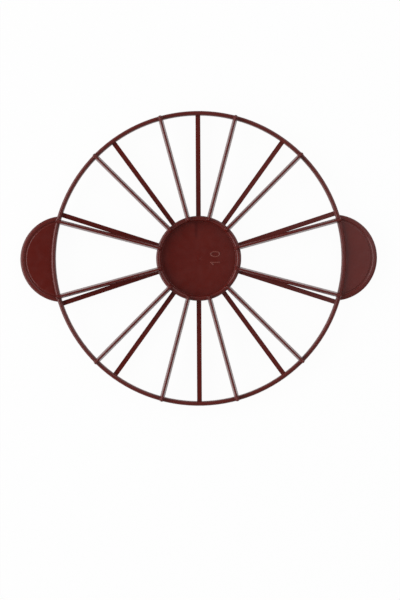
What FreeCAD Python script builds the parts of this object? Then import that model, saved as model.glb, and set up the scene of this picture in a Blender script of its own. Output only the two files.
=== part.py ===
import FreeCAD, Part
import math
import os

# Cake portion marker, moulded in one piece.
# It has a hub, an outer ring, two handles and wedge blades on both faces.
# The origin is in the middle under the part, on the plane that the lower blades rest on.
# +Z points up, and +X towards one handle. Lengths are in millimetres, angles in degrees.

# Overall form
RING_DIAMETER = 270.0
BLADE_REACH = 10.0

# Ring
RING_WIDTH = 4.0
RING_HEIGHT = 8.0
RING_EDGE_ROUND = 1.8

# Hub
HUB_DIAMETER = 78.0
HUB_RIM_WIDTH = 4.0
HUB_RIM_HEIGHT = 8.0
HUB_RIM_EDGE_ROUND = 1.8
HUB_RECESS = 5.0
HUB_FLOOR = 1.6
HUB_WALL_LEAN = 10.0

# Handles
HANDLE_DIAMETER = 79.0
HANDLE_OFFSET = 124.0
HANDLE_RIB_WIDTH = 3.8
HANDLE_RIB_HEIGHT = 2.6
HANDLE_RIB_EDGE_ROUND = 0.8
HANDLE_CROWN_WIDTH = 2.2
HANDLE_CROWN_ROUND = 5.0
HANDLE_EDGE_HEIGHT = 1.0
HANDLE_EDGE_ROUND = 0.4
HANDLE_WALL_LEAN = 25.0
HANDLE_PANEL = 1.8
HANDLE_PANEL_EDGE_ROUND = 0.5
HANDLE_GROOVE_WIDTH = 1.2
HANDLE_GROOVE_DEPTH = 0.4
HANDLE_GROOVE_LEAN = 40.0

# Blades
UPPER_PORTIONS = 12
LOWER_PORTIONS = 10
BLADE_BASE_WIDTH = 4.4
BLADE_EDGE_WIDTH = 1.7
BLADE_EDGE_CHAMFER = 0.45
BLADE_BACK = 0.5
BLADE_OUTER_LEAN = 1.0
BLADE_INNER_LEAN = 5.0

# Roundings are drawn as short flats of about this length.
FLAT_LENGTH = 1.2

UP = FreeCAD.Vector(0, 0, 1)
MID_PLANE = FreeCAD.Vector(0, 0, BLADE_REACH)


def lean(height, angle):
    """How far a leaning wall moves sideways over a height."""
    return height * math.tan(math.radians(angle))


def rounded(before, corner, after, radius):
    """Points that round a corner: chords of the arc that touches both sides."""
    if radius == 0:
        return [corner]
    to_before = (before - corner).normalize()
    to_after = (after - corner).normalize()
    half = to_before.getAngle(to_after) / 2
    bisector = (to_before + to_after).normalize()
    centre = corner + bisector * (radius / math.sin(half))
    start = corner + to_before * (radius / math.tan(half)) - centre
    end = corner + to_after * (radius / math.tan(half)) - centre
    turn = start.getAngle(end)
    flats = max(1, round(radius * turn / FLAT_LENGTH))
    points = []
    for step in range(flats + 1):
        part = step / flats
        spoke = start * math.sin((1 - part) * turn) + end * math.sin(part * turn)
        points.append(centre + spoke * (1 / math.sin(turn)))
    return points


def lathe(corners, centre):
    """Full turn of a closed outline of (radius, height, rounding) about a centre."""
    places = [FreeCAD.Vector(x, 0, z) for x, z, _ in corners]
    points = []
    for index, (_, _, rounding) in enumerate(corners):
        after = places[(index + 1) % len(places)]
        points += rounded(places[index - 1], places[index], after, rounding)
    face = Part.Face(Part.makePolygon(points + points[:1]))
    body = face.revolve(FreeCAD.Vector(0, 0, 0), UP, 360)
    body.translate(centre)
    return body


def both_faces(upper):
    """Outline corners of the upper face, followed by their mirror below."""
    return upper + [(x, -z, rounding) for x, z, rounding in reversed(upper)]


def ring():
    """Outer band with rounded edges."""
    outer = RING_DIAMETER / 2
    inner = outer - RING_WIDTH
    top = RING_HEIGHT / 2
    corners = both_faces([(inner, top, RING_EDGE_ROUND), (outer, top, RING_EDGE_ROUND)])
    return lathe(corners, MID_PLANE)


def hub():
    """Dish with a raised rim, deep on the upper face and shallow on the lower one."""
    outer = HUB_DIAMETER / 2
    top = HUB_RIM_HEIGHT / 2
    crest = outer - HUB_RIM_WIDTH
    floor = top - HUB_RECESS
    underside = floor - HUB_FLOOR
    corners = [
        (0, floor, 0),
        (crest - lean(top - floor, HUB_WALL_LEAN), floor, 0),
        (crest, top, HUB_RIM_EDGE_ROUND),
        (outer, top, HUB_RIM_EDGE_ROUND),
        (outer, -top, HUB_RIM_EDGE_ROUND),
        (crest, -top, HUB_RIM_EDGE_ROUND),
        (crest - lean(underside + top, HUB_WALL_LEAN), underside, 0),
        (0, underside, 0),
    ]
    return lathe(corners, MID_PLANE)


def handle(side):
    """Disc with a crowned rib and a grooved panel, cut off inside the ring."""
    outer = HANDLE_DIAMETER / 2
    edge = HANDLE_EDGE_HEIGHT / 2
    top = HANDLE_RIB_HEIGHT / 2
    panel = HANDLE_PANEL / 2
    groove = panel - HANDLE_GROOVE_DEPTH
    crest = outer - HANDLE_RIB_WIDTH
    foot = crest - lean(top - groove, HANDLE_WALL_LEAN)
    step = foot - HANDLE_GROOVE_WIDTH
    brink = step - lean(panel - groove, HANDLE_GROOVE_LEAN)
    corners = both_faces([
        (0, panel, 0),
        (brink, panel, HANDLE_PANEL_EDGE_ROUND),
        (step, groove, 0),
        (foot, groove, 0),
        (crest, top, HANDLE_RIB_EDGE_ROUND),
        (outer - HANDLE_CROWN_WIDTH, top, HANDLE_CROWN_ROUND),
        (outer, edge, HANDLE_EDGE_ROUND),
    ])
    disc = lathe(corners, MID_PLANE + FreeCAD.Vector(side * HANDLE_OFFSET, 0, 0))
    inside = Part.makeCylinder((RING_DIAMETER - RING_WIDTH) / 2, 2 * BLADE_REACH)
    return disc.cut(inside)


def blade():
    """One wedge blade along +X over the mid plane, from the hub's rim to the ring."""
    half_base = BLADE_BASE_WIDTH / 2
    half_edge = BLADE_EDGE_WIDTH / 2
    half_section = [
        (half_base, -BLADE_BACK),
        (half_base, 0),
        (half_edge, BLADE_REACH - BLADE_EDGE_CHAMFER),
        (half_edge - BLADE_EDGE_CHAMFER, BLADE_REACH),
    ]
    section = half_section + [(-y, z) for y, z in reversed(half_section)]
    outer = RING_DIAMETER / 2
    inner = HUB_DIAMETER / 2 - HUB_RIM_WIDTH
    side = [
        (inner, -BLADE_BACK),
        (outer, -BLADE_BACK),
        (outer, 0),
        (outer - lean(BLADE_REACH, BLADE_OUTER_LEAN), BLADE_REACH),
        (inner + lean(BLADE_REACH, BLADE_INNER_LEAN), BLADE_REACH),
        (inner, 0),
    ]
    section_points = [FreeCAD.Vector(0, y, z) for y, z in section]
    side_points = [FreeCAD.Vector(x, -half_base, z) for x, z in side]
    section_face = Part.Face(Part.makePolygon(section_points + section_points[:1]))
    side_face = Part.Face(Part.makePolygon(side_points + side_points[:1]))
    bar = section_face.extrude(FreeCAD.Vector(outer, 0, 0))
    plate = side_face.extrude(FreeCAD.Vector(0, BLADE_BASE_WIDTH, 0))
    wedge = bar.common(plate)
    wedge.translate(MID_PLANE)
    return wedge


def blade_set(portions, below):
    """Blades of one face, evenly turned, with each handle midway between two."""
    pattern = blade()
    if below:
        pattern.rotate(MID_PLANE, FreeCAD.Vector(1, 0, 0), 180)
    blades = []
    for number in range(portions):
        turned = pattern.copy()
        turned.rotate(MID_PLANE, UP, (number + 0.5) * 360 / portions)
        blades.append(turned)
    return blades


def portion_marker():
    """Ring, hub, handles and both blade sets as one moulding."""
    pieces = [hub(), handle(1), handle(-1)]
    pieces += blade_set(UPPER_PORTIONS, below=False)
    pieces += blade_set(LOWER_PORTIONS, below=True)
    return ring().multiFuse(pieces).removeSplitter()


os.makedirs("parts", exist_ok=True)
portion_marker().exportStep("parts/portion_marker.step")
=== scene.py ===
"""Cake portion marker: moulded plastic, counts on the hub, a gate mark and a plain studio."""
import math

import bmesh
import bpy
from bpy.props import FloatProperty, FloatVectorProperty, IntProperty, PointerProperty
from bpy.types import NodeSocket, Operator, Panel, PropertyGroup
from mathutils import Matrix, Vector


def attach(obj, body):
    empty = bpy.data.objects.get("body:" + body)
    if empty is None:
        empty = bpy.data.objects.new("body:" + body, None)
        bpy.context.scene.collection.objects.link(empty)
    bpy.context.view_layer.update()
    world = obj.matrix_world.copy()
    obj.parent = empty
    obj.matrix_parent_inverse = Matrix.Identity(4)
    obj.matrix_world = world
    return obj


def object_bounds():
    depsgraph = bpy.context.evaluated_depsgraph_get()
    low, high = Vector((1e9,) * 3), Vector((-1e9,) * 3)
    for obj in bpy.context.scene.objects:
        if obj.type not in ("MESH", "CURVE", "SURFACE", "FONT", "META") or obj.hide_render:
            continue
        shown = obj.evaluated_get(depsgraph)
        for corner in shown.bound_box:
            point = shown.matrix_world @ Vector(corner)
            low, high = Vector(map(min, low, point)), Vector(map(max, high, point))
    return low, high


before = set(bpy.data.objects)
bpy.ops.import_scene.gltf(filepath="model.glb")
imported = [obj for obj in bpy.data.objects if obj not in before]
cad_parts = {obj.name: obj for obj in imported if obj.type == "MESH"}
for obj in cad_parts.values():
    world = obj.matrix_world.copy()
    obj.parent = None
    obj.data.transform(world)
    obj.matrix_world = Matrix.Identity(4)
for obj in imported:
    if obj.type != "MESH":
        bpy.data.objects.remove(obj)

bl_info = {
    "name": "Cake portion marker",
    "version": (1, 0, 0),
    "blender": (4, 5, 0),
    "location": "View3D > Sidebar > Portion marker",
    "description": "Dresses the packed portion marker and sets it in a plain studio",
    "category": "Object",
}

CAD_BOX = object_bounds()
MID_HEIGHT = (CAD_BOX[0].z + CAD_BOX[1].z) / 2
NODE = "portion_marker"
BODY = "root"
MM = 0.001

# Space between the nodes in the shader editor.
NODE_SPACING = 220

# A noise texture keeps most of its values between these two.
NOISE_LOW = 0.3
NOISE_HIGH = 0.7


# Colours, nodes and meshes

def linear(code):
    """Linear RGB of an sRGB hex colour."""
    values = [int(code[i:i + 2], 16) / 255 for i in (1, 3, 5)]
    return tuple(v / 12.92 if v <= 0.04045 else ((v + 0.055) / 1.055) ** 2.4 for v in values)


def add_node(tree, kind, inputs=None, **settings):
    """Adds a node, sets its properties, and fills its inputs with values or links."""
    node = tree.nodes.new(kind)
    node.location = (NODE_SPACING * len(tree.nodes), 0)
    for name, value in settings.items():
        setattr(node, name, value)
    for name, value in (inputs or {}).items():
        if isinstance(value, NodeSocket):
            tree.links.new(value, node.inputs[name])
        else:
            node.inputs[name].default_value = value
    return node


def new_material(name):
    """An empty material with nodes, and its tree."""
    material = bpy.data.materials.new(name)
    material.use_nodes = True
    material.node_tree.nodes.clear()
    return material, material.node_tree


def add_piece(name, mesh, material):
    """Links a mesh as a piece of the marker, in the plastic and on its body."""
    piece = bpy.data.objects.new(name, mesh)
    bpy.context.scene.collection.objects.link(piece)
    mesh.materials.append(material)
    mesh.polygons.foreach_set("use_smooth", [True] * len(mesh.polygons))
    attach(piece, BODY)
    return piece


def skin_height(x, y, side):
    """Height of the moulding's skin at a place, met from above (side 1) or below (side -1)."""
    start = Vector((x, y, side))
    hit, place, _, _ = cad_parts[NODE].ray_cast(start, Vector((0, 0, -side)))
    if not hit:
        raise RuntimeError(f"nothing of the moulding lies at {x:.4f}, {y:.4f}")
    return place.z


# Moulded polystyrene

def edge_radius(tree, place, settings):
    """Radius that the edges are shaded with: wide on the ring, the hub's rim and the handles'
    ribs, where the tool was well rounded, and fine elsewhere."""
    parts = add_node(tree, "ShaderNodeSeparateXYZ", {"Vector": place}).outputs
    aside = add_node(tree, "ShaderNodeMath", {0: parts["X"]}, operation="ABSOLUTE")
    aside = add_node(tree, "ShaderNodeMath", {0: aside.outputs[0], 1: settings.handle_offset},
                     operation="SUBTRACT")
    distances = []
    for x in (parts["X"], aside.outputs[0]):
        flat = add_node(tree, "ShaderNodeCombineXYZ", {"X": x, "Y": parts["Y"]})
        reach = add_node(tree, "ShaderNodeVectorMath", {0: flat.outputs["Vector"]},
                         operation="LENGTH")
        distances.append(reach.outputs["Value"])
    from_hub, from_handle = distances
    ring_radius = CAD_BOX[1].y
    handle_radius = CAD_BOX[1].x - settings.handle_offset
    half_band = settings.band_width / 2
    outside = add_node(tree, "ShaderNodeMath", {0: from_hub, 1: ring_radius},
                       operation="GREATER_THAN")
    radius = settings.edge_softness
    for distance, middle, softness, within in (
        (from_hub, ring_radius - half_band, settings.rim_softness, 1.0),
        (from_hub, settings.hub_rim_radius, settings.rim_softness, 1.0),
        (from_handle, handle_radius, settings.rib_softness, outside.outputs[0]),
    ):
        band = add_node(tree, "ShaderNodeMath", {0: distance, 1: middle, 2: half_band},
                        operation="COMPARE")
        band = add_node(tree, "ShaderNodeMath", {0: band.outputs[0], 1: within},
                        operation="MULTIPLY")
        radius = add_node(tree, "ShaderNodeMix", {
            "Factor": band.outputs[0], "A": radius, "B": softness,
        }).outputs["Result"]
    return radius


def weld_line(tree, place, settings):
    """Share of a short, soft darker streak on the hub's floor that runs in from the wall, where
    the colour is darkened."""
    parts = add_node(tree, "ShaderNodeSeparateXYZ", {"Vector": place}).outputs
    off = add_node(tree, "ShaderNodeMath", {0: parts["X"], 1: settings.weld_offset},
                   operation="SUBTRACT")
    off = add_node(tree, "ShaderNodeMath", {0: off.outputs[0]}, operation="ABSOLUTE")
    across = add_node(tree, "ShaderNodeMapRange", {
        "Value": off.outputs[0], "From Min": settings.weld_width, "From Max": 0.0,
    }, interpolation_type="SMOOTHSTEP")
    inner = add_node(tree, "ShaderNodeMapRange", {
        "Value": parts["Y"],
        "From Min": settings.weld_start, "From Max": settings.weld_start + settings.weld_fade,
    }, interpolation_type="SMOOTHSTEP")
    outer = add_node(tree, "ShaderNodeMath", {0: parts["Y"], 1: settings.weld_end},
                     operation="LESS_THAN")
    along = add_node(tree, "ShaderNodeMath", {0: inner.outputs["Result"], 1: outer.outputs[0]},
                     operation="MULTIPLY")
    streak = add_node(tree, "ShaderNodeMath", {0: across.outputs["Result"], 1: along.outputs[0]},
                      operation="MULTIPLY")
    return streak.outputs[0]


def moulded_polystyrene(name, rounded_edges, dark, light):
    """Brown polystyrene, injection moulded in a plain tool.
    Deep red-brown all through, a low even sheen with soft highlights, faint flow clouds, a faint
    darker streak on the hub's floor, slight waves in the skin, rounded edges and a fine parting
    line round the outside.
    """
    settings = bpy.context.scene.portion_marker
    if name in bpy.data.materials:
        return bpy.data.materials[name]
    material, tree = new_material(name)
    place = add_node(tree, "ShaderNodeTexCoord").outputs["Object"]
    clouds = add_node(tree, "ShaderNodeTexNoise", {
        "Vector": place, "Scale": 1 / settings.cloud_size, "Detail": 3.0, "Roughness": 0.6,
    })
    tint = add_node(tree, "ShaderNodeMix", {
        "Factor": clouds.outputs["Fac"],
        "A": (*dark, 1.0),
        "B": (*light, 1.0),
    }, data_type="RGBA")
    # Darkens the colour along a short, soft streak on the hub's floor.
    tint = add_node(tree, "ShaderNodeMix", {
        "Factor": weld_line(tree, place, settings),
        "A": tint.outputs["Result"],
        "B": (*settings.weld_colour, 1.0),
    }, data_type="RGBA")
    polish = add_node(tree, "ShaderNodeTexNoise", {
        "Vector": place, "Scale": 1 / settings.polish_size, "Detail": 2.0,
    })
    roughness = add_node(tree, "ShaderNodeMapRange", {
        "Value": polish.outputs["Fac"],
        "From Min": NOISE_LOW, "From Max": NOISE_HIGH,
        "To Min": settings.roughness - settings.polish_spread,
        "To Max": settings.roughness + settings.polish_spread,
    })
    radius = edge_radius(tree, place, settings) if rounded_edges else 0.0
    rounded = add_node(tree, "ShaderNodeBevel", {"Radius": radius}, samples=8)
    waves = add_node(tree, "ShaderNodeTexNoise", {
        "Vector": place, "Scale": 1 / settings.wave_size, "Detail": 2.0,
    })
    skin = add_node(tree, "ShaderNodeBump", {
        "Height": waves.outputs["Fac"], "Normal": rounded.outputs["Normal"],
        "Strength": 1.0, "Distance": settings.wave_depth,
    })
    height = add_node(tree, "ShaderNodeSeparateXYZ", {"Vector": place}).outputs["Z"]
    off_middle = add_node(tree, "ShaderNodeMath", {0: height, 1: MID_HEIGHT},
                          operation="SUBTRACT")
    distance = add_node(tree, "ShaderNodeMath", {0: off_middle.outputs[0]}, operation="ABSOLUTE")
    ridge = add_node(tree, "ShaderNodeMapRange", {
        "Value": distance.outputs[0], "From Min": settings.parting_width, "From Max": 0.0,
    }, interpolation_type="SMOOTHSTEP")
    parting = add_node(tree, "ShaderNodeBump", {
        "Height": ridge.outputs["Result"], "Normal": skin.outputs["Normal"],
        "Strength": 1.0, "Distance": settings.parting_height,
    })
    surface = add_node(tree, "ShaderNodeBsdfPrincipled", {
        "Base Color": tint.outputs["Result"],
        "Roughness": roughness.outputs["Result"],
        "IOR": settings.plastic_ior,
        "Normal": parting.outputs["Normal"],
    })
    add_node(tree, "ShaderNodeOutputMaterial", {"Surface": surface.outputs["BSDF"]})
    return material


def marker_plastic():
    """The moulding's plastic, with its edges rounded in the shading."""
    settings = bpy.context.scene.portion_marker
    return moulded_polystyrene("moulded_polystyrene", True,
                               settings.plastic_dark, settings.plastic_light)


def relief_plastic():
    """The same plastic on the raised digits in a paler colour, which is a painted highlight: it
    stands in for the sheen on the strokes, so the relief looks paler and evenly bright.
    Its edges are shaded as they are modelled."""
    settings = bpy.context.scene.portion_marker
    return moulded_polystyrene("moulded_polystyrene_relief", False,
                               settings.relief_colour, settings.relief_colour)


def gate_plastic():
    """The same plastic on the trimmed gate, whose low rings are shaded as they are modelled."""
    settings = bpy.context.scene.portion_marker
    return moulded_polystyrene("moulded_polystyrene_gate", False,
                               settings.plastic_dark, settings.plastic_light)


class PORTION_OT_dress_moulding(Operator):
    """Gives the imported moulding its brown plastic"""
    bl_idname = "portion_marker.dress_moulding"
    bl_label = "Dress the moulding"

    def execute(self, context):
        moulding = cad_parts[NODE]
        moulding.data.materials.clear()
        moulding.data.materials.append(marker_plastic())
        return {"FINISHED"}


# Relief counts on the hub

# Centre lines of the digits in units of their height: for each stroke whether it is closed, and
# its Bezier knots. A knot is its point (right, up), then the handles before and after it.
DIGIT_STROKES = {
    "0": [(True, [
        ((0.0, 0.5), (-0.16, 0.5), (0.16, 0.5)),
        ((0.28, 0.0), (0.28, 0.3), (0.28, -0.3)),
        ((0.0, -0.5), (0.16, -0.5), (-0.16, -0.5)),
        ((-0.28, 0.0), (-0.28, -0.3), (-0.28, 0.3)),
    ])],
    "1": [
        (False, [
            ((0.0, 0.5), (0.0, 0.6), (0.0, 0.2)),
            ((0.0, -0.5), (0.0, -0.2), (0.0, -0.6)),
        ]),
        (False, [
            ((0.0, 0.5), (0.05, 0.56), (-0.1, 0.38)),
            ((-0.25, 0.25), (-0.17, 0.32), (-0.33, 0.18)),
        ]),
    ],
    "2": [
        (False, [
            ((-0.27, 0.26), (-0.3, 0.2), (-0.24, 0.42)),
            ((0.0, 0.5), (-0.14, 0.5), (0.17, 0.5)),
            ((0.27, 0.22), (0.28, 0.38), (0.26, 0.02)),
            ((-0.27, -0.5), (-0.1, -0.3), (-0.4, -0.6)),
        ]),
        (False, [
            ((-0.27, -0.5), (-0.4, -0.5), (-0.1, -0.5)),
            ((0.29, -0.5), (0.1, -0.5), (0.4, -0.5)),
        ]),
    ],
}

# How many voxels of the digits' joined skin go across a stroke.
VOXELS_PER_STROKE = 11


def evaluated_mesh(thing):
    """Mesh of a new object as its modifiers leave it. The object itself is removed."""
    bpy.context.scene.collection.objects.link(thing)
    graph = bpy.context.evaluated_depsgraph_get()
    mesh = bpy.data.meshes.new_from_object(thing.evaluated_get(graph))
    bpy.data.objects.remove(thing)
    return mesh


def stroke_tubes(digit, span, stroke):
    """Mesh of a digit's strokes as round tubes along their centre lines."""
    curve = bpy.data.curves.new(f"count_{digit}_strokes", "CURVE")
    curve.dimensions = "3D"
    curve.resolution_u = 16
    curve.bevel_depth = stroke / 2
    curve.bevel_resolution = 5
    curve.use_fill_caps = True
    for closed, knots in DIGIT_STROKES[digit]:
        spline = curve.splines.new("BEZIER")
        spline.bezier_points.add(len(knots) - 1)
        spline.use_cyclic_u = closed
        for knot, (point, before, after) in zip(spline.bezier_points, knots):
            knot.handle_left_type = knot.handle_right_type = "FREE"
            knot.co = (point[0] * span, point[1] * span, 0)
            knot.handle_left = (before[0] * span, before[1] * span, 0)
            knot.handle_right = (after[0] * span, after[1] * span, 0)
    mesh = evaluated_mesh(bpy.data.objects.new(curve.name, curve))
    bpy.data.curves.remove(curve)
    return mesh


def round_stroke_ends(mesh, digit, span, stroke):
    """Adds a ball at each open end of a digit's strokes."""
    shape = bmesh.new()
    shape.from_mesh(mesh)
    for closed, knots in DIGIT_STROKES[digit]:
        for knot in () if closed else (knots[0], knots[-1]):
            at = Matrix.Translation((knot[0][0] * span, knot[0][1] * span, 0))
            bmesh.ops.create_icosphere(shape, subdivisions=3, radius=stroke / 2, matrix=at)
    shape.to_mesh(mesh)
    shape.free()


def digit_mesh(digit, height, stroke, relief, place):
    """Mesh of one raised digit: round strokes joined into one skin and pressed flat."""
    span = height - stroke
    strokes = stroke_tubes(digit, span, stroke)
    round_stroke_ends(strokes, digit, span, stroke)
    body = bpy.data.objects.new("count_body", strokes)
    remesh = body.modifiers.new("one_skin", "REMESH")
    remesh.mode = "VOXEL"
    remesh.voxel_size = stroke / VOXELS_PER_STROKE
    smooth = body.modifiers.new("soft_skin", "SMOOTH")
    smooth.factor = 0.5
    smooth.iterations = 3
    mesh = evaluated_mesh(body)
    bpy.data.meshes.remove(strokes)
    flatten = Matrix.Diagonal((1, 1, relief / (stroke / 2), 1))
    mesh.transform(place @ flatten)
    return mesh


class PORTION_OT_number_hub(Operator):
    """Raises the count of portions on both floors of the hub"""
    bl_idname = "portion_marker.number_hub"
    bl_label = "Number the hub"

    def execute(self, context):
        settings = context.scene.portion_marker
        for side, count in ((1, settings.upper_count), (-1, settings.lower_count)):
            digits = str(count)
            for index, digit in enumerate(digits):
                along = (index - (len(digits) - 1) / 2) * settings.digit_pitch
                x, y = settings.digit_distance, side * along
                turned = Matrix((
                    (0, -1, 0, x),
                    (side, 0, 0, y),
                    (0, 0, side, skin_height(x, y, side)),
                    (0, 0, 0, 1),
                ))
                mesh = digit_mesh(digit, settings.digit_height, settings.digit_stroke,
                                  settings.digit_relief, turned)
                face = "upper" if side > 0 else "lower"
                # The digits take the paler plastic, whose colour is a painted highlight.
                add_piece(f"count_{face}_{index + 1}", mesh, relief_plastic())
        return {"FINISHED"}


# Gate mark in the middle of the hub

# Half section of the mark from its middle outwards: each radius as a share of the nub's or of the
# whole mark's, and each height as a share of the relief. It ends below the hub's floor.
NUB_PROFILE = ((0, 2.2), (0.6, 2.1), (0.95, 1.5), (1.15, 0.5), (1.5, 0.3))
MARK_PROFILE = ((0.8, 0.35), (0.88, 1.0), (0.95, 1.0), (1.0, 0.1),
                (1.03, -0.5), (1.06, -1.0), (1.06, -3.0), (0, -3.0))
GATE_SEGMENTS = 96


def turned_mesh(name, profile, segments, height):
    """Mesh of a profile of (radius, height) turned about +Z and closed underneath."""
    shape = bmesh.new()
    rings = []
    for radius, level in profile:
        if radius == 0:
            rings.append([shape.verts.new((0, 0, height + level))])
            continue
        rings.append([
            shape.verts.new((radius * math.cos(turn), radius * math.sin(turn), height + level))
            for turn in (2 * math.pi * i / segments for i in range(segments))
        ])
    for inner, outer in zip(rings, rings[1:]):
        for i in range(segments):
            j = (i + 1) % segments
            corners = [inner[i % len(inner)], outer[i % len(outer)],
                       outer[j % len(outer)], inner[j % len(inner)]]
            shape.faces.new(list(dict.fromkeys(corners)))
    bmesh.ops.recalc_face_normals(shape, faces=shape.faces)
    mesh = bpy.data.meshes.new(name)
    shape.to_mesh(mesh)
    shape.free()
    return mesh


class PORTION_OT_mark_gate(Operator):
    """Leaves the round trace of the trimmed gate on the hub's upper floor"""
    bl_idname = "portion_marker.mark_gate"
    bl_label = "Mark the gate"

    def execute(self, context):
        settings = context.scene.portion_marker
        profile = [
            (reach * diameter / 2, rise * settings.gate_relief)
            for part, diameter in ((NUB_PROFILE, settings.gate_nub_diameter),
                                   (MARK_PROFILE, settings.gate_diameter))
            for reach, rise in part
        ]
        mesh = turned_mesh("gate_mark", profile, GATE_SEGMENTS, skin_height(0, 0, 1))
        add_piece("gate_mark", mesh, gate_plastic())
        return {"FINISHED"}


# Studio

def studio_paper():
    """White studio paper, matt: an even pale ground that takes only a faint shadow."""
    settings = bpy.context.scene.portion_marker
    material, tree = new_material("studio_paper")
    ray = add_node(tree, "ShaderNodeLightPath").outputs
    seen = ray["Is Camera Ray"]
    for kind in ("Is Glossy Ray", "Is Transmission Ray"):
        seen = add_node(tree, "ShaderNodeMath", {0: seen, 1: ray[kind]},
                        operation="MAXIMUM").outputs[0]
    glowing = add_node(tree, "ShaderNodeMath", {0: seen, 1: settings.ground_glow},
                       operation="MULTIPLY")
    paper = add_node(tree, "ShaderNodeBsdfPrincipled", {
        "Base Color": (*settings.ground_colour, 1.0), "Roughness": 0.9, "Specular IOR Level": 0.2,
    })
    glow = add_node(tree, "ShaderNodeEmission", {"Color": (1.0, 1.0, 1.0, 1.0), "Strength": 1.0})
    mixed = add_node(tree, "ShaderNodeMixShader", {
        0: glowing.outputs[0], 1: paper.outputs["BSDF"], 2: glow.outputs["Emission"],
    })
    add_node(tree, "ShaderNodeOutputMaterial", {"Surface": mixed.outputs["Shader"]})
    return material


def studio_world(settings):
    """White behind the object for the camera, and as light a pale horizon under a dark ceiling."""
    world = bpy.data.worlds.new("studio")
    world.use_nodes = True
    tree = world.node_tree
    tree.nodes.clear()
    ray = add_node(tree, "ShaderNodeLightPath").outputs
    direction = add_node(tree, "ShaderNodeTexCoord").outputs["Generated"]
    up = add_node(tree, "ShaderNodeSeparateXYZ", {"Vector": direction}).outputs["Z"]
    level = add_node(tree, "ShaderNodeMapRange", {
        "Value": up, "From Min": settings.ceiling_start, "From Max": settings.ceiling_full,
        "To Min": settings.horizon_level, "To Max": settings.ceiling_level,
    }, interpolation_type="SMOOTHSTEP")
    strength = add_node(tree, "ShaderNodeMix", {
        "Factor": ray["Is Camera Ray"], "A": level.outputs["Result"], "B": 1.0,
    })
    sky = add_node(tree, "ShaderNodeBackground", {
        "Color": (1.0, 1.0, 1.0, 1.0), "Strength": strength.outputs["Result"],
    })
    add_node(tree, "ShaderNodeOutputWorld", {"Surface": sky.outputs["Background"]})
    return world


def add_softbox(settings, side):
    """An area lamp with its side's settings that looks at the middle of the object."""
    lamp = bpy.data.lights.new(f"softbox_{side}", "AREA")
    lamp.shape = "RECTANGLE"
    lamp.size = getattr(settings, f"{side}_width")
    lamp.size_y = getattr(settings, f"{side}_height")
    lamp.energy = getattr(settings, f"{side}_power")
    softbox = bpy.data.objects.new(lamp.name, lamp)
    bpy.context.scene.collection.objects.link(softbox)
    azimuth = getattr(settings, f"{side}_azimuth")
    elevation = getattr(settings, f"{side}_elevation")
    level = math.cos(elevation)
    away = Vector((math.cos(azimuth) * level, math.sin(azimuth) * level, math.sin(elevation)))
    softbox.location = away * getattr(settings, f"{side}_distance")
    softbox.rotation_mode = "QUATERNION"
    softbox.rotation_quaternion = away.to_track_quat("Z", "Y")
    softbox.visible_camera = False


def add_camera(settings):
    """Camera straight above the hub, framed like the photograph."""
    lens = bpy.data.cameras.new("camera")
    lens.sensor_width = 36.0
    lens.lens = lens.sensor_width * settings.camera_distance / settings.view_height
    lens.shift_x = settings.shift_right
    lens.shift_y = settings.shift_up
    lens.clip_start, lens.clip_end = 0.01, 20.0
    camera = bpy.data.objects.new("camera", lens)
    bpy.context.scene.collection.objects.link(camera)
    camera.location = (0, 0, MID_HEIGHT + settings.camera_distance)
    camera.rotation_euler = (0, 0, settings.camera_turn)
    bpy.context.scene.camera = camera


class PORTION_OT_set_stage(Operator):
    """Sets the floor, the world, the softboxes and the camera"""
    bl_idname = "portion_marker.set_stage"
    bl_label = "Set the stage"

    def execute(self, context):
        settings = context.scene.portion_marker
        shape = bmesh.new()
        bmesh.ops.create_circle(shape, cap_ends=True, segments=64, radius=settings.floor_radius)
        mesh = bpy.data.meshes.new("floor")
        shape.to_mesh(mesh)
        shape.free()
        floor = bpy.data.objects.new("floor", mesh)
        floor.location.z = CAD_BOX[0].z - settings.floor_gap
        floor.data.materials.append(studio_paper())
        context.scene.collection.objects.link(floor)
        context.scene.world = studio_world(settings)
        for side in ("left", "right", "top"):
            add_softbox(settings, side)
        context.scene.view_settings.view_transform = "Standard"
        add_camera(settings)
        return {"FINISHED"}


# Settings and panel

def length(name, description, default):
    """A setting in metres."""
    return FloatProperty(name=name, description=description, default=default,
                         subtype="DISTANCE", unit="LENGTH", precision=5)


def angle(name, description, degrees):
    """A setting in radians, with its default in degrees."""
    return FloatProperty(name=name, description=description, default=math.radians(degrees),
                         subtype="ANGLE", unit="ROTATION")


def colour(name, description, code):
    """A linear colour, with its default as an sRGB hex code."""
    return FloatVectorProperty(name=name, description=description, default=linear(code), size=3,
                               min=0.0, max=1.0, subtype="COLOR")


def power(name, description, watts):
    """A setting in watts."""
    return FloatProperty(name=name, description=description, default=watts, min=0.0,
                         subtype="POWER", unit="POWER")


def share(name, description, default):
    """A setting between 0 and 1."""
    return FloatProperty(name=name, description=description, default=default, min=0.0, max=1.0,
                         subtype="FACTOR")


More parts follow.
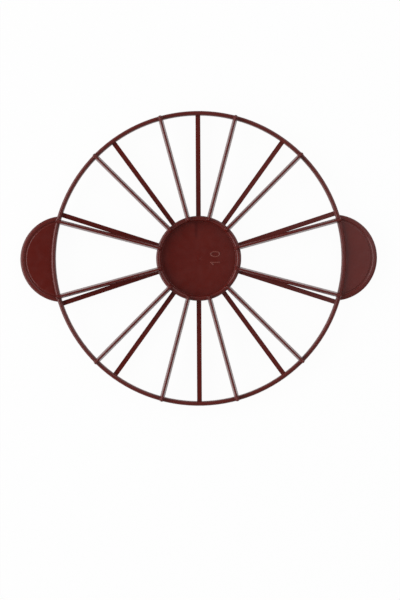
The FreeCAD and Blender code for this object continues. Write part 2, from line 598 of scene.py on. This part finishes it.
class MarkerSettings(PropertyGroup):
    """Sizes and colours of the dressed marker and its studio"""
    plastic_dark: colour("Plastic, dark", "Colour in the darker clouds of the plastic", "#57130d")
    plastic_light: colour("Plastic, light", "Colour in the lighter clouds of the plastic",
                          "#661a11")
    # Paler colour of the raised digits: a painted highlight standing in for the sheen on their
    # strokes.
    relief_colour: colour("Relief", "Colour of the engraved relief", "#7a3c34")
    roughness: share("Roughness", "Mean roughness of the moulded skin", 0.33)
    plastic_ior: FloatProperty(name="IOR", description="Refraction of polystyrene", default=1.47,
                               min=1.0, max=2.0)
    cloud_size: length("Cloud size", "Width of the faint flow clouds", 22 * MM)
    polish_size: length("Polish size", "Width of the patches of duller and brighter polish",
                        6 * MM)
    polish_spread: share("Polish spread", "How far the patches stray from the mean roughness",
                         0.04)
    wave_size: length("Wave size", "Spacing of the skin's slight waves", 1.6 * MM)
    wave_depth: length("Wave depth", "Height of the skin's slight waves", 0.012 * MM)
    edge_softness: length("Edge softness", "Radius that the edges are shaded with", 0.45 * MM)
    rim_softness: length("Rim softness", "Radius on the ring and the hub's rim", 1.4 * MM)
    rib_softness: length("Rib softness", "Radius on the handles' ribs", 1.2 * MM)
    handle_offset: length("Handle offset", "Distance of each handle's middle from the hub's",
                          124 * MM)
    band_width: length("Band width", "Width of the bands that take the wider radii", 6 * MM)
    hub_rim_radius: length("Hub rim radius", "Radius in the middle of the hub's rim", 37 * MM)
    # These settings place a short, soft darker streak on the hub's floor and give its colour.
    weld_colour: colour("Dark streak", "Colour in the middle of the darker streak", "#500c06")
    weld_offset: length("Weld offset", "Place of the darker streak along X", -2.2 * MM)
    weld_width: length("Weld width", "Half the width of the darker streak", 2.4 * MM)
    weld_start: length("Weld start", "Where the darker streak starts, along Y", 15 * MM)
    weld_fade: length("Weld fade", "Length over which the darker streak comes up", 9 * MM)
    weld_end: length("Weld end", "Where the darker streak ends at the wall, along Y", 34 * MM)
    parting_width: length("Parting line width", "Half the width of the parting line", 0.16 * MM)
    parting_height: length("Parting line height", "Height of the parting line", 0.08 * MM)
    upper_count: IntProperty(name="Upper count", default=10, min=1, max=22,
                             description="Number on the upper face, in the digits 0, 1 and 2")
    lower_count: IntProperty(name="Lower count", default=12, min=1, max=22,
                             description="Number on the lower face, in the digits 0, 1 and 2")
    digit_height: length("Digit height", "Height of a digit over all", 9.2 * MM)
    digit_stroke: length("Digit stroke", "Width of a digit's strokes", 1.2 * MM)
    digit_relief: length("Digit relief", "How far a digit stands above the floor", 0.4 * MM)
    digit_pitch: length("Digit pitch", "Distance between the middles of two digits", 7.6 * MM)
    digit_distance: length("Digit distance", "Distance of the digits from the hub's middle",
                           15.2 * MM)
    gate_diameter: length("Gate mark", "Diameter of the gate's round mark", 5.5 * MM)
    gate_nub_diameter: length("Gate nub", "Diameter of the trimmed nub in the mark", 2.4 * MM)
    gate_relief: length("Gate relief", "Height of the low ring round the gate mark", 0.03 * MM)
    ground_colour: colour("Ground", "Colour of the studio paper", "#fafafa")
    ground_glow: share("Ground glow", "Share of plain white in the ground that is seen", 0.96)
    horizon_level: share("Horizon level", "Brightness of the studio near the horizon", 0.42)
    ceiling_level: share("Ceiling level", "Brightness of the studio overhead", 0.03)
    ceiling_start: share("Ceiling start", "Sine of the elevation where the light starts to fall",
                         0.82)
    ceiling_full: share("Ceiling full", "Sine of the elevation above which the ceiling is dark",
                        0.97)
    left_width: length("Left softbox, width", "Width of the left softbox", 2.6)
    left_height: length("Left softbox, height", "Height of the left softbox", 1.6)
    left_distance: length("Left softbox, distance", "From the object to the left softbox", 2.0)
    left_azimuth: angle("Left softbox, azimuth", "Direction of the left softbox from +X", 178)
    left_elevation: angle("Left softbox, elevation", "Angle of the left softbox above the floor",
                          27)
    left_power: power("Left softbox, power", "Power of the left softbox", 37.5)
    right_width: length("Right softbox, width", "Width of the right softbox", 1.5)
    right_height: length("Right softbox, height", "Height of the right softbox", 1.6)
    right_distance: length("Right softbox, distance", "From the object to the right softbox", 2.0)
    right_azimuth: angle("Right softbox, azimuth", "Direction of the right softbox from +X", 45)
    right_elevation: angle("Right softbox, elevation",
                           "Angle of the right softbox above the floor", 28)
    right_power: power("Right softbox, power", "Power of the right softbox", 8.0)
    top_width: length("Top softbox, width", "Width of the top softbox", 0.45)
    top_height: length("Top softbox, height", "Height of the top softbox", 0.45)
    top_distance: length("Top softbox, distance", "From the object to the top softbox", 1.1)
    top_azimuth: angle("Top softbox, azimuth", "Direction of the top softbox from +X", 5)
    top_elevation: angle("Top softbox, elevation", "Angle of the top softbox above the floor", 66)
    top_power: power("Top softbox, power", "Power of the top softbox", 0.95)
    floor_radius: length("Floor radius", "Radius of the studio floor", 6.0)
    floor_gap: length("Floor gap", "How far the floor lies under the marker", 0.02 * MM)
    camera_distance: length("Camera distance", "Height of the camera above the mid plane", 1.4)
    view_height: length("View height", "Height that the picture shows at the mid plane", 0.5501)
    camera_turn: angle("Camera turn", "Turn of the camera about its own axis", -0.33)
    shift_right: FloatProperty(name="Shift right", description="Sideways shift of the lens",
                               default=0.0022)
    shift_up: FloatProperty(name="Shift up", description="Upward shift of the lens",
                            default=-0.0694)


class PORTION_PT_panel(Panel):
    """Lists the marker's settings and steps"""
    bl_idname = "PORTION_PT_panel"
    bl_label = "Portion marker"
    bl_space_type = "VIEW_3D"
    bl_region_type = "UI"
    bl_category = "Portion marker"

    def draw(self, context):
        settings = context.scene.portion_marker
        for step in STEPS:
            self.layout.operator(step.bl_idname)
        for name in MarkerSettings.__annotations__:
            self.layout.prop(settings, name)


STEPS = (
    PORTION_OT_dress_moulding,
    PORTION_OT_number_hub,
    PORTION_OT_mark_gate,
    PORTION_OT_set_stage,
)
CLASSES = (MarkerSettings, *STEPS, PORTION_PT_panel)


def register():
    """Registers the classes and gives the scene its settings."""
    for kind in CLASSES:
        bpy.utils.register_class(kind)
    bpy.types.Scene.portion_marker = PointerProperty(type=MarkerSettings)


def unregister():
    """Takes back what register did."""
    del bpy.types.Scene.portion_marker
    for kind in reversed(CLASSES):
        bpy.utils.unregister_class(kind)


def main():
    """Registers the add-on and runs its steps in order."""
    register()
    bpy.ops.portion_marker.dress_moulding()
    bpy.ops.portion_marker.number_hub()
    bpy.ops.portion_marker.mark_gate()
    bpy.ops.portion_marker.set_stage()


if __name__ == "__main__":
    main()
